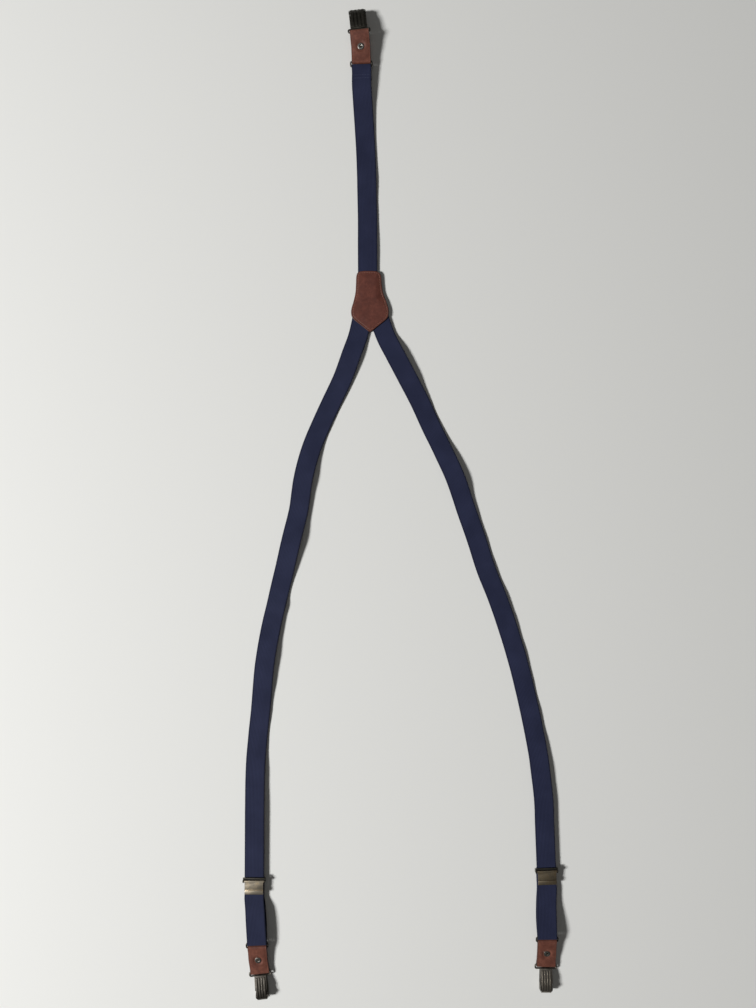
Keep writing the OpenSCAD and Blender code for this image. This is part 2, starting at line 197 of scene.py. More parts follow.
def makeWeaveGroup():
    # ribs run along the strap, cross yarns alternate from rib to rib, and each edge has a plain selvedge
    group, given, made = newGroup(
        "wovenElastic",
        [("Position", "NodeSocketVector", None), ("Rib Pitch", "NodeSocketFloat", 1.4),
         ("Yarn Pitch", "NodeSocketFloat", 0.8), ("Width", "NodeSocketFloat", 20.0),
         ("Selvedge", "NodeSocketFloat", 1.3)],
        ["Height", "Thread", "Selvedge Mask", "Fade"],
    )
    split = group.nodes.new("ShaderNodeSeparateXYZ")
    group.links.new(given["Position"], split.inputs[0])
    across, along = split.outputs[0], split.outputs[1]
    ribPhase = calc(group, "DIVIDE", across, given["Rib Pitch"])
    rib = calc(group, "ABSOLUTE", calc(group, "SINE", calc(group, "MULTIPLY", ribPhase, math.pi)))
    shift = calc(group, "MULTIPLY", calc(group, "MODULO", calc(group, "FLOOR", ribPhase), 2.0), 0.5)
    yarnPhase = calc(group, "ADD", calc(group, "DIVIDE", along, given["Yarn Pitch"]), shift)
    yarn = calc(group, "ABSOLUTE", calc(group, "SINE", calc(group, "MULTIPLY", yarnPhase, math.pi)))
    body = calc(group, "MULTIPLY", calc(group, "POWER", rib, 0.5), calc(group, "POWER", yarn, 0.6))
    fromEdge = calc(group, "MINIMUM", across, calc(group, "SUBTRACT", given["Width"], across))
    inside = calc(group, "SUBTRACT", given["Selvedge"], 0.15)
    edge = ramp(group, fromEdge, inside, given["Selvedge"], 1.0, 0.0)
    edgeYarn = calc(group, "ABSOLUTE", calc(group, "SINE", calc(group, "MULTIPLY", along, math.pi / 0.9)))
    kept = calc(group, "SUBTRACT", 1.0, edge)
    thread = calc(group, "ADD", calc(group, "MULTIPLY", body, kept), calc(group, "MULTIPLY", edgeYarn, edge))
    fuzz = cloud(group, given["Position"], 2.6, 2.0, 0.6)
    fade = cloud(group, given["Position"], 0.035, 3.0, 0.5)
    group.links.new(calc(group, "MULTIPLY_ADD", fuzz, 0.35, thread), made["Height"])
    shown = calc(group, "MULTIPLY_ADD", fuzz, 0.5, calc(group, "MULTIPLY", thread, 0.6))
    group.links.new(shown, made["Thread"])
    group.links.new(edge, made["Selvedge Mask"])
    group.links.new(fade, made["Fade"])
    return group


def makeHideGroup():
    # leather: pebbled grain with fine creases, and broad mottling in the dye
    group, given, made = newGroup(
        "leatherGrain",
        [("Position", "NodeSocketVector", None), ("Grain Scale", "NodeSocketFloat", 1300.0),
         ("Mottle Scale", "NodeSocketFloat", 110.0)],
        ["Height", "Crease", "Mottle"],
    )
    cells = group.nodes.new("ShaderNodeTexVoronoi")
    cells.feature = "SMOOTH_F1"
    group.links.new(given["Position"], cells.inputs["Vector"])
    group.links.new(given["Grain Scale"], cells.inputs["Scale"])
    cells.inputs["Smoothness"].default_value = 0.6
    pebble = cells.outputs["Distance"]
    creaseScale = calc(group, "MULTIPLY", given["Grain Scale"], 0.22)
    crease = ramp(group, cloud(group, given["Position"], creaseScale, 5.0, 0.65), 0.42, 0.62)
    mottle = ramp(group, cloud(group, given["Position"], given["Mottle Scale"], 4.0, 0.6), 0.3, 0.7)
    height = calc(group, "ADD", calc(group, "MULTIPLY", pebble, -0.7), calc(group, "MULTIPLY", crease, 0.5))
    group.links.new(height, made["Height"])
    group.links.new(crease, made["Crease"])
    group.links.new(mottle, made["Mottle"])
    return group


def makeMetalGroup():
    # antique plating: broad tarnish, fine rubbed streaks and small pits
    group, given, made = newGroup(
        "antiquePlating",
        [("Position", "NodeSocketVector", None), ("Tarnish Scale", "NodeSocketFloat", 260.0),
         ("Tarnish Amount", "NodeSocketFloat", 0.5)],
        ["Tarnish", "Streak", "Height"],
    )
    broad = cloud(group, given["Position"], given["Tarnish Scale"], 5.0, 0.62)
    low = calc(group, "SUBTRACT", 0.75, calc(group, "MULTIPLY", given["Tarnish Amount"], 0.5))
    tarnish = ramp(group, broad, calc(group, "SUBTRACT", low, 0.16), calc(group, "ADD", low, 0.16))
    stretch = group.nodes.new("ShaderNodeMapping")
    group.links.new(given["Position"], stretch.inputs["Vector"])
    stretch.inputs["Scale"].default_value = (3.4, 0.35, 1.6)
    streak = cloud(group, stretch.outputs["Vector"], 2400.0, 3.0, 0.6)
    pits = ramp(group, cloud(group, given["Position"], 2100.0, 2.0, 0.7), 0.3, 0.42)
    group.links.new(tarnish, made["Tarnish"])
    group.links.new(streak, made["Streak"])
    group.links.new(calc(group, "MULTIPLY_ADD", streak, 0.3, pits), made["Height"])
    return group


weaveGroup = makeWeaveGroup()
hideGroup = makeHideGroup()
metalGroup = makeMetalGroup()


def startMaterial(name, group, source):
    # a material with its shader, the group placed in it and the group's position wired from source
    material = bpy.data.materials.new(name)
    material.use_nodes = True
    tree = material.node_tree
    placed = tree.nodes.new("ShaderNodeGroup")
    placed.node_tree = group
    if source == "object":
        tree.links.new(tree.nodes.new("ShaderNodeTexCoord").outputs["Object"], placed.inputs["Position"])
    else:
        own = tree.nodes.new("ShaderNodeUVMap")
        own.uv_map = source
        tree.links.new(own.outputs["UV"], placed.inputs["Position"])
    return material, tree, tree.nodes["Principled BSDF"], placed


def addBump(tree, shader, height, distance, strength):
    bump = tree.nodes.new("ShaderNodeBump")
    bump.inputs["Distance"].default_value = distance
    bump.inputs["Strength"].default_value = strength
    tree.links.new(height, bump.inputs["Height"])
    tree.links.new(bump.outputs["Normal"], shader.inputs["Normal"])


def readRim(tree):
    # 1 at a cut edge or crease of a leather piece, 0 on its faces
    node = tree.nodes.new("ShaderNodeAttribute")
    node.attribute_name = "rim"
    return node.outputs["Fac"]


elasticLook = {
    # gap: painted shade between the yarns
    "gap": (0.003, 0.004, 0.013, 1),
    "thread": (0.014, 0.018, 0.050, 1),
    "faded": (0.021, 0.026, 0.067, 1),
    "selvedge": (0.009, 0.012, 0.035, 1),
    "rough": 0.82,
    "sheen": 0.06,
    "sheenTint": (0.55, 0.6, 0.85, 1),
}


def makeElasticMaterial():
    material, tree, shader, weave = startMaterial("navyElastic", weaveGroup, "weave")
    fade = ramp(tree, weave.outputs["Fade"], 0.3, 0.75)
    lit = mixColour(tree, fade, elasticLook["thread"], elasticLook["faded"])
    lit = mixColour(tree, weave.outputs["Selvedge Mask"], lit, elasticLook["selvedge"])
    # where the weave sinks it takes the gap colour, painted shade between the yarns
    colour = mixColour(tree, ramp(tree, weave.outputs["Thread"], 0.1, 0.75), elasticLook["gap"], lit)
    tree.links.new(colour, shader.inputs["Base Color"])
    shader.inputs["Roughness"].default_value = elasticLook["rough"]
    shader.inputs["Specular IOR Level"].default_value = 0.25
    shader.inputs["Sheen Weight"].default_value = elasticLook["sheen"]
    shader.inputs["Sheen Roughness"].default_value = 0.45
    shader.inputs["Sheen Tint"].default_value = elasticLook["sheenTint"]
    addBump(tree, shader, weave.outputs["Height"], 0.00012, 0.8)
    return material


def makeLeatherMaterial(name, look):
    material, tree, shader, hide = startMaterial(name, hideGroup, "object")
    hide.inputs["Grain Scale"].default_value = look["grainScale"]
    base = mixColour(tree, hide.outputs["Mottle"], look["dark"], look["light"])
    # the grain's low creases are darkened with painted shade
    base = mixColour(tree, ramp(tree, hide.outputs["Crease"], 0.0, 1.0, 0.35, 0.0), base, look["crease"])
    colour = mixColour(tree, readRim(tree), base, look["edge"])
    tree.links.new(colour, shader.inputs["Base Color"])
    rough = ramp(tree, hide.outputs["Mottle"], 0.0, 1.0, look["rough"], look["rough"] - 0.14)
    tree.links.new(rough, shader.inputs["Roughness"])
    shader.inputs["Specular IOR Level"].default_value = 0.35
    addBump(tree, shader, hide.outputs["Height"], 0.00010, look["bump"])
    return material


# each crease colour is painted shade for the grain's low creases
leatherLooks = {
    "patch": {"dark": (0.100, 0.029, 0.020, 1), "light": (0.134, 0.042, 0.029, 1),
              "crease": (0.058, 0.017, 0.012, 1), "edge": (0.050, 0.019, 0.014, 1),
              "rough": 0.52, "grainScale": 1250, "bump": 0.5},
    "tab": {"dark": (0.118, 0.040, 0.027, 1), "light": (0.172, 0.065, 0.044, 1),
            "crease": (0.062, 0.021, 0.014, 1), "edge": (0.055, 0.021, 0.015, 1),
            "rough": 0.50, "grainScale": 1400, "bump": 0.5},
    "lining": {"dark": (0.090, 0.042, 0.029, 1), "light": (0.130, 0.064, 0.045, 1),
               "crease": (0.060, 0.028, 0.019, 1), "edge": (0.045, 0.020, 0.014, 1),
               "rough": 0.72, "grainScale": 2100, "bump": 0.8},
}


def makeMetalMaterial(name, look):
    material, tree, shader, plating = startMaterial(name, metalGroup, "object")
    plating.inputs["Tarnish Amount"].default_value = look["tarnish"]
    plating.inputs["Tarnish Scale"].default_value = look["scale"]
    bright = mixColour(tree, ramp(tree, plating.outputs["Streak"], 0.3, 0.7), look["metal"], look["rubbed"])
    colour = mixColour(tree, plating.outputs["Tarnish"], bright, look["dull"])
    tree.links.new(colour, shader.inputs["Base Color"])
    rough = calc(tree, "MULTIPLY_ADD", plating.outputs["Tarnish"], 0.22, look["rough"])
    rough = calc(tree, "MULTIPLY_ADD", plating.outputs["Streak"], 0.12, rough)
    tree.links.new(rough, shader.inputs["Roughness"])
    shader.inputs["Metallic"].default_value = 1.0
    addBump(tree, shader, plating.outputs["Height"], 0.00003, 0.35)
    return material


metalLooks = {
    "steel": {"metal": (0.14, 0.127, 0.11, 1), "rubbed": (0.23, 0.21, 0.18, 1),
              "dull": (0.075, 0.067, 0.055, 1), "rough": 0.28, "tarnish": 0.4, "scale": 200},
    # a lighter copy of steel: painted light on the right clip's cover
    "paintedLitSteel": {"metal": (0.28, 0.255, 0.22, 1), "rubbed": (0.42, 0.385, 0.335, 1),
                  "dull": (0.16, 0.143, 0.12, 1), "rough": 0.28, "tarnish": 0.4, "scale": 200},
    # dark steel: the dark plating of the rings, adjuster brackets and pins, and painted shade on the back
    # clip
    "darkSteelAndShade": {"metal": (0.085, 0.08, 0.065, 1), "rubbed": (0.15, 0.14, 0.12, 1),
                  "dull": (0.045, 0.042, 0.035, 1), "rough": 0.32, "tarnish": 0.5, "scale": 200},
    "brass": {"metal": (0.52, 0.45, 0.34, 1), "rubbed": (0.66, 0.58, 0.46, 1),
              "dull": (0.36, 0.29, 0.19, 1), "rough": 0.34, "tarnish": 0.3, "scale": 150},
    # a darker copy of brass: painted shade on the right adjuster's flap
    "paintedShadeBrass": {"metal": (0.27, 0.22, 0.15, 1), "rubbed": (0.38, 0.32, 0.23, 1),
                  "dull": (0.17, 0.13, 0.08, 1), "rough": 0.36, "tarnish": 0.4, "scale": 150},
    "nickel": {"metal": (0.40, 0.38, 0.34, 1), "rubbed": (0.62, 0.60, 0.56, 1),
               "dull": (0.16, 0.15, 0.13, 1), "rough": 0.18, "tarnish": 0.35, "scale": 420},
}


def makeThreadMaterial(name, colour):
    material = bpy.data.materials.new(name)
    material.use_nodes = True
    tree = material.node_tree
    shader = tree.nodes["Principled BSDF"]
    place = tree.nodes.new("ShaderNodeTexCoord").outputs["Object"]
    twist = tree.nodes.new("ShaderNodeTexWave")
    twist.bands_direction = "DIAGONAL"
    twist.inputs["Scale"].default_value = 1500
    tree.links.new(place, twist.inputs["Vector"])
    # the twist's grooves darken to painted shade between the plies
    dark = [channel * 0.45 for channel in colour[:3]] + [1]
    strand = mixColour(tree, ramp(tree, twist.outputs["Fac"], 0.1, 0.8), dark, colour)
    tree.links.new(strand, shader.inputs["Base Color"])
    shader.inputs["Roughness"].default_value = 0.6
    addBump(tree, shader, twist.outputs["Fac"], 0.00008, 0.7)
    return material


finishes = {
    "elastic": makeElasticMaterial(),
    "patchLeather": makeLeatherMaterial("patchLeather", leatherLooks["patch"]),
    "tabLeather": makeLeatherMaterial("tabLeather", leatherLooks["tab"]),
    "liningLeather": makeLeatherMaterial("liningLeather", leatherLooks["lining"]),
    "steel": makeMetalMaterial("antiqueSteel", metalLooks["steel"]),
    # the lighter copy of steel carries painted light, and the darker copy of brass painted shade
    "paintedLitSteel": makeMetalMaterial("antiqueSteelPaintedLit", metalLooks["paintedLitSteel"]),
    # the dark steel is real dark plating, and on the back clip painted shade
    "darkSteelAndShade": makeMetalMaterial("antiqueSteelDarkAndShade", metalLooks["darkSteelAndShade"]),
    "brass": makeMetalMaterial("antiqueBrass", metalLooks["brass"]),
    "paintedShadeBrass": makeMetalMaterial("antiqueBrassPaintedShade", metalLooks["paintedShadeBrass"]),
    "nickel": makeMetalMaterial("agedNickel", metalLooks["nickel"]),
    "brownThread": makeThreadMaterial("brownThread", (0.33, 0.15, 0.10, 1)),
    "navyThread": makeThreadMaterial("navyThread", (0.060, 0.075, 0.15, 1)),
}
print("materials ready:", len(finishes))

# mesh helpers


def unit(vectors):
    return vectors / np.linalg.norm(vectors, axis=-1, keepdims=True)


def smooth(value):
    value = np.clip(value, 0, 1)
    return value * value * (3 - 2 * value)


def curveSpans(p, steps=12):
    # the smooth curve that the CAD routes follow, from the second point to the last but one
    u = (np.arange(steps) / steps)[:, None]
    spans = []
    for i in range(len(p) - 3):
        a, b, c, d = p[i:i + 4]
        spans.append(0.5 * (2 * b + (c - a) * u + (2 * a - 5 * b + 4 * c - d) * u ** 2
                            + (3 * b - a - 3 * c + d) * u ** 3))
    return spans


def splineThrough(points, steps=12):
    p = np.array(points, float)
    p = np.vstack([p[:1], p, p[-1:]])
    return np.vstack(curveSpans(p, steps) + [p[-1:]])


def closedOutline(points):
    p = np.array(points, float)
    return np.vstack(curveSpans(np.vstack([p[-1:], p, p[:2]])))


def turnPlan(points, degrees):
    # turns points about the Z axis
    c, s = math.cos(math.radians(degrees)), math.sin(math.radians(degrees))
    p = np.array(points, float)
    out = p.copy()
    out[..., 0] = c * p[..., 0] - s * p[..., 1]
    out[..., 1] = s * p[..., 0] + c * p[..., 1]
    return out


def pickStations(line, longest, sharpest=14):
    # stations no further apart than longest, and closer where the line turns
    gaps = np.linalg.norm(np.diff(line[:, :3], axis=0), axis=1)
    keep = np.concatenate([[True], gaps > 1e-6])
    line = line[keep]
    ahead = unit(np.gradient(line[:, :3], axis=0))
    chosen = [0]
    run = 0.0
    for i in range(1, len(line) - 1):
        run += np.linalg.norm(line[i, :3] - line[i - 1, :3])
        turned = math.degrees(math.acos(np.clip(ahead[i] @ ahead[chosen[-1]], -1, 1)))
        if run >= longest or turned >= sharpest:
            chosen.append(i)
            run = 0.0
    if len(chosen) > 1 and np.linalg.norm(line[-1, :3] - line[chosen[-1], :3]) < 0.3 * longest:
        chosen.pop()
    return line[chosen + [len(line) - 1]], ahead[chosen + [len(line) - 1]]


def finishMesh(name, points, faces, material, body=None, rim=None, uv=None, sharpAngle=40):
    mesh = bpy.data.meshes.new(name)
    mesh.from_pydata((points * mm).tolist(), [], faces)
    if uv is not None:
        layer = mesh.uv_layers.new(name="weave")
        corners = np.zeros(len(mesh.loops), int)
        mesh.loops.foreach_get("vertex_index", corners)
        layer.data.foreach_set("uv", uv[corners].astype(np.float32).ravel())
    if rim is not None:
        mesh.attributes.new("rim", "FLOAT", "POINT").data.foreach_set("value", rim.astype(np.float32))
    work = bmesh.new()
    work.from_mesh(mesh)
    bmesh.ops.recalc_face_normals(work, faces=work.faces)
    work.to_mesh(mesh)
    work.free()
    mesh.shade_smooth()
    mesh.set_sharp_from_angle(angle=math.radians(sharpAngle))
    mesh.materials.append(material)
    piece = bpy.data.objects.new(name, mesh)
    bpy.context.scene.collection.objects.link(piece)
    if body:
        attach(piece, body)
    return piece


def tubeFaces(rings, around):
    # the walls of a tube of rings, then its first and last ring as caps
    faces = []
    for i in range(rings - 1):
        for k in range(around):
            a, b = i * around + k, i * around + (k + 1) % around
            faces.append((a, b, b + around, a + around))
    faces.append(tuple(range(around - 1, -1, -1)))
    faces.append(tuple(range((rings - 1) * around, rings * around)))
    return faces


def layRibbon(name, stations, section, material, lift=None, halves=None):
    # sweeps a cross-section along stations: centre, direction and side vectors
    centre, ahead, side, along = stations
    across, depth, outer, rim = section
    outward = unit(np.cross(side, ahead))
    spread = np.tile(across, (len(centre), 1))
    if halves is not None:
        spread = np.where(spread < 0, spread * halves[:, :1], spread * halves[:, 1:])
    height = np.tile(depth, (len(centre), 1))
    if lift is not None:
        height = height + lift(along[:, None], np.tile(across, (len(centre), 1))) * outer[None, :]
    points = centre[:, None] + side[:, None] * spread[..., None] + outward[:, None] * height[..., None]
    faces = tubeFaces(len(centre), len(across))
    uv = np.stack([spread - across.min(), np.repeat(along[:, None], len(across), 1)], 2).reshape(-1, 2)
    return finishMesh(name, points.reshape(-1, 3), faces, material, rim=np.tile(rim, len(centre)), uv=uv)


def makeStations(line, longest, sharpest=14):
    # line rows are x, y, z and the side vector's heading in degrees and its tilt in degrees
    rows, ahead = pickStations(line, longest, sharpest)
    yaw, roll = np.radians(rows[:, 3]), np.radians(rows[:, 4])
    side = np.stack([np.cos(yaw) * np.cos(roll), np.sin(yaw) * np.cos(roll), np.sin(roll)], 1)
    along = np.concatenate([[0], np.cumsum(np.linalg.norm(np.diff(rows[:, :3], axis=0), axis=1))])
    return rows[:, :3], ahead, side, along


def cutStations(stations, first, last):
    return tuple(part[first:last] for part in stations)


def sewRow(name, path, normals, thread, material, body):
    # one mesh of short stitches along a path, each a little tube whose ends dive into the work
    path, normals = np.array(path, float), np.array(normals, float)
    gaps = np.linalg.norm(np.diff(path, axis=0), axis=1)
    along = np.concatenate([[0], np.cumsum(gaps)])
    count = max(1, int(round(along[-1] / thread["pitch"])))
    pitch = along[-1] / count
    points, faces = [], []
    rings, around = 7, 6
    shares = np.linspace(-0.5, 0.5, rings)
    turns = np.arange(around) * 2 * math.pi / around
    for i in range(count):
        at = (i + 0.5) * pitch + shares * thread["length"] * pitch / thread["pitch"]
        spine = np.stack([np.interp(at, along, path[:, k]) for k in range(3)], 1)
        up = unit(np.stack([np.interp(at, along, normals[:, k]) for k in range(3)], 1))
        sink = thread["sink"] * np.abs(shares * 2) ** 3
        spine = spine + up * (thread["rise"] - sink)[:, None]
        ahead = unit(np.gradient(spine, axis=0))
        cross = unit(np.cross(ahead, up))
        raised = np.cross(cross, ahead)
        radius = thread["radius"] * np.sqrt(np.clip(1.08 - np.abs(shares * 2) ** 4, 0.15, 1))
        ring = (spine[:, None] + cross[:, None] * (np.cos(turns)[None, :, None] * radius[:, None, None])
                + raised[:, None] * (np.sin(turns)[None, :, None] * radius[:, None, None]))
        base = len(points)
        points.extend(ring.reshape(-1, 3))
        faces.extend(tuple(base + v for v in face) for face in tubeFaces(rings, around))
    return finishMesh(name, np.array(points), faces, material, body)


# elastic straps

webbing = {
    "width": 20.0,
    "thickness": 1.0,
    "ribs": 13,
    "ribDepth": 0.07,
    "stationGap": 2.6,
    "clearance": 0.62,  # lowest height of the strap's middle that keeps it off the floor
    "foldLine": 37.0,   # the straps' fold line, with bendRun the run past it
    "bendRun": 62.0,
    "slideRun": 235.0,  # how much of a front strap gathers when its adjuster moves up
    "joinAbove": 20,    # the upper and lower pieces meet this far above the gathered part
    "levelRun": 130,    # a front strap stops tilting this far above its adjuster
    "levelFade": 60,
    "wander": 1.3,      # how strongly a strap tilts to and fro
}
# end is the middle of the ring's first bar, pitch leans its tab, and slack holds the heights of the
# loop's front run at the distances from the ring that slackAt gives
sides = {
    "back": {"end": (-8.7, 240.8, 5.5), "yaw": 2, "pitch": 12, "clipYaw": 6},
    "left": {"end": (-115.7, -658.6, 7), "yaw": 182.5, "pitch": -8, "clipYaw": 187,
             "slider": (-119, -602), "sliderYaw": -0.3, "slack": (7.4, 8.5, 8.8, 8.7, 8.55)},
    "right": {"end": (181.3, -651.6, 8.6), "yaw": 180.7, "pitch": -11, "clipYaw": 179,
              "slider": (181.8, -592), "sliderYaw": 2.2, "slack": (5.2, 6.6, 8.4, 9.5, 10.0)},
}
routes = {
    "back": [(-2.4, -6, 1.8), (-2.4, 10, 1.8), (-2.4, 26, 1.8), (-2.4, 37, 1.8), (-2.5, 59.5, 2),
             (-2.5, 84.5, 1.2), (-3, 109.5, 1), (-3.5, 134.5, 1.5), (-4.5, 159.5, 1.2), (-6, 184, 1.6),
             (-7.5, 206, 3.6), (-8.5, 222.5, 5.7)],
    "left": [(-6.7, -8, 1.8), (-9.2, -22, 1.8), (-12.9, -37, 1.8), (-19, -54, 3.2), (-28, -78.5, 1.8),
             (-39.5, -103, 1.2), (-51, -128, 1), (-61, -153, 2.2), (-68.5, -182, 4.5), (-73.5, -215, 3),
             (-80.5, -244.5, 5.5), (-88, -276, 2.4), (-95.5, -307, 1.2), (-102.5, -338.5, 3),
             (-108.5, -375, 4), (-112.5, -417.5, 1.6), (-116, -451.5, 1.2), (-118, -481, 3)],
    "right": [(7.2, -8, 1.8), (11.4, -22, 1.8), (17, -37, 1.8), (25.5, -54, 4.5), (38.5, -78.5, 4),
              (51.5, -103, 1.6), (63, -128, 1), (75, -153, 2.8), (88, -182, 4.5), (99.5, -215, 1.8),
              (110, -245, 1.4), (120, -276, 1.2), (132, -306.5, 2), (143, -338.5, 1.6), (154, -375.5, 1.2),
              (164, -417.5, 1.4), (169, -442, 2), (173, -464, 3), (175.3, -482, 3.8)],
}
ringPitch = 4.5    # between the ring's two bars
foldRadius = 1.58  # from a bar's axis to the middle of the strap folded round it
sliderHeight = 4.0  # the strap's middle as it passes through an adjuster
slackAt = (34, 24, 14, 7, 3)
tailAt = (80, 55, 30, 6.4)  # a front strap's last points, up from its adjuster's middle
rearBar = (7.4, 1.7)  # the adjuster's rear bar, from the adjuster's middle and the floor
# one short buckle, where the left strap's inner edge stands up
crease = {"at": -314, "spread": 11, "tilt": -9}


def webbingSection():
    half, thick, ribs = webbing["width"] / 2, webbing["thickness"] / 2, webbing["ribs"]
    edge = thick - webbing["ribDepth"]
    flat = half - edge
    top = np.linspace(-flat, flat, ribs * 4 + 1)
    swell = edge + webbing["ribDepth"] * np.abs(np.sin(np.pi * ribs * (top + flat) / (2 * flat))) ** 0.7
    turn = np.radians([60, 30, 0, -30, -60])
    across = np.concatenate([top, flat + edge * np.cos(turn), top[::-1], -flat - edge * np.cos(turn)])
    depth = np.concatenate([swell, edge * np.sin(turn), -swell[::-1], -edge * np.sin(turn)])
    outer = np.concatenate([np.ones(len(top)), [1, 1, 0, 0, 0], np.zeros(len(top)), [0, 0, 0, 1, 1]])
    return across, depth, outer, np.zeros(len(across))


def headings(points, tilt):
    # adds each point's level side vector, square to the line, and its tilt
    ahead = np.gradient(points, axis=0)
    yaw = np.degrees(np.unwrap(np.arctan2(-ahead[:, 0], ahead[:, 1])))
    return np.column_stack([points, yaw, tilt])


def wander(points, seed):
    along = np.concatenate([[0], np.cumsum(np.linalg.norm(np.diff(points, axis=0), axis=1))])
    draw = np.random.default_rng(seed)
    tilt = np.zeros(len(along))
    for length in (31, 53, 97, 160):
        tilt += np.sin(2 * math.pi * (along / length + draw.random())) * draw.uniform(0.3, 0.8)
    return tilt * webbing["wander"] * smooth((along - 50) / 60)


def clearFloor(run):
    # lifts a tilted strap until its low edge is off the floor
    lowest = webbing["clearance"] + webbing["width"] / 2 * np.sin(np.radians(np.abs(run[:, 4])))
    run[:, 2] = np.maximum(run[:, 2], lowest)
    return run


def foldArc(y, z, radius):
    # half a turn round a bar at y, z, from under it to over it
    return [(y + radius * math.cos(a), z + radius * math.sin(a)) for a in np.radians(np.arange(-90, 91, 6))]


def trimInside(stations, name):
    # under the patch the two front straps butt along the middle
    centre, side = stations[0], stations[2]
    halves = np.ones((len(centre), 2))
    limit = {"left": -0.2, "right": 0.2}.get(name)
    if limit is not None:
        for i in np.nonzero(centre[:, 1] > -32)[0]:
            reach = (limit - centre[i, 0]) / side[i, 0]
            column = 1 if reach > 0 else 0
            halves[i, column] = min(1, abs(reach) / (webbing["width"] / 2))
    return halves


def buildBackStrap():
    place = sides["back"]
    tip = np.array(place["end"])
    arc = [(0, y, z) for y, z in foldArc(0, 0, foldRadius)[::-1]]
    front = tip + turnPlan([(0, -8, 0.8), (0, -3.5, 1.4), arc[0]], place["yaw"])
    back = tip + turnPlan([arc[-1], (0, -3.5, -1.3), (0, -8, -0.7), (0, -14, -1.2)], place["yaw"])
    run = splineThrough(np.vstack([routes["back"], front]))
    run = headings(run, wander(run, 3))
    near = smooth((run[:, 1] - 205) / 22)
    run[:, 3] = run[:, 3] * (1 - near) + place["yaw"] * near
    run[:, 4] *= 1 - near
    run = clearFloor(run)
    turned = np.vstack([tip + turnPlan(arc[1:-1], place["yaw"]), splineThrough(back)])
    turned = np.column_stack([turned, np.full(len(turned), place["yaw"]), np.zeros(len(turned))])
    stations = makeStations(np.vstack([run, turned]), webbing["stationGap"])
    piece = layRibbon("back_elastic", stations, webbingSection(), finishes["elastic"])
    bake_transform(piece)
    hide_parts("back_strap", "yoke_strap_ends")
    return stations


def creaseTilt(points, name):
    if name != "left":
        return np.zeros(len(points))
    return crease["tilt"] * np.exp(-((points[:, 1] - crease["at"]) / crease["spread"]) ** 2)


def buildFrontStrap(name, seed):
    place = sides[name]
    up = turnPlan((0, 1, 0), place["sliderYaw"])
    middle = np.array([*place["slider"], sliderHeight])
    tail = [middle + up * distance for distance in tailAt]
    run = splineThrough(np.vstack([routes[name], tail]))
    run = headings(run, wander(run, seed) + creaseTilt(run, name))
    near = smooth((middle[1] + webbing["levelRun"] - run[:, 1]) / webbing["levelFade"])
    run[:, 4] *= 1 - near
    stations = makeStations(clearFloor(run), webbing["stationGap"])
    cut = int(np.argmax(stations[0][:, 1] < middle[1] + webbing["slideRun"] + webbing["joinAbove"]))
    section = webbingSection()
    halves = trimInside(stations, name)
    upper = layRibbon(f"{name}_elastic_upper", cutStations(stations, 0, cut + 1), section,
                      finishes["elastic"], halves=halves[:cut + 1])
    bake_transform(upper)
    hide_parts(f"{name}_front_strap")
    lower = layRibbon(f"{name}_elastic_lower", cutStations(stations, cut, None), section,
                      finishes["elastic"])
    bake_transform(lower)


backStations = buildBackStrap()
buildFrontStrap("left", 5)
buildFrontStrap("right", 8)
print("long straps laid")


def buildLoop(name):
    # from under the adjuster's plate to the ring, round its bar, back up and round the adjuster's rear bar
    place = sides[name]
    slider = np.array([*place["slider"], 0.0])
    tip = np.array(place["end"])
    drop = tip[2]
    spot = turnPlan(slider - tip, -place["yaw"])  # the adjuster, seen from the ring
    low = 0.7  # height of the back run where it lies on the floor
    hang = drop - foldRadius - low

    def fromSlider(rows):
        return np.column_stack([slider + turnPlan([(0, r[0], r[1]) for r in rows], place["sliderYaw"]),
                                np.full(len(rows), 180 + place["sliderYaw"]), np.zeros(len(rows))])

    def fromRing(rows):
        share = [np.clip(-r[0] / -spot[1], 0, 1) for r in rows]
        yaw = [place["yaw"] + (180 + place["sliderYaw"] - place["yaw"]) * smooth(s) for s in share]
        local = [(spot[0] * smooth(s), r[0], r[1] - drop) for r, s in zip(rows, share)]
        return np.column_stack([tip + turnPlan(local, place["yaw"]), yaw, np.zeros(len(rows))])

    arc = foldArc(0, drop, foldRadius)[::-1]
    barArc = foldArc(*rearBar, 1)
    slack = [(-distance, height) for distance, height in zip(slackAt, place["slack"])]
    front = np.vstack([fromSlider([(6.4, 4.0), (2, 4.05), (-3, 4.0), (-8, 4.0), (-13, 4.5)]),
                       fromRing([*slack, arc[0]])])
    back = np.vstack([fromRing([arc[-1], (-3, low + 0.9 * hang), (-8, low + 0.55 * hang),
                                (-15, low + 0.16 * hang), (-22, 0.75), (-34, low)]),
                      fromSlider([(-12, low), (-4, low), (3, low), (7.4, low)])])
    over = fromSlider([(7.4, 2.7), (5, 2.7), (2.5, 2.68), (0, 2.45), (-2.4, 1.95)])
    line = np.vstack([splineThrough(front), fromRing(arc[1:-1]), splineThrough(back),
                      fromSlider(barArc[1:-1]), splineThrough(over)])
    stations = makeStations(line, 1.8, 12)
    piece = layRibbon(f"{name}_elastic_loop", stations, webbingSection(), finishes["elastic"])
    start, end = slider * mm, tip * mm
    reach = Vector(end - start)
    reach.z = 0
    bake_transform(piece)
    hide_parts(f"{name}_strap_loop", f"{name}_strap_end")


for name in ("left", "right"):
    buildLoop(name)
print("strap loops folded")

# back patch

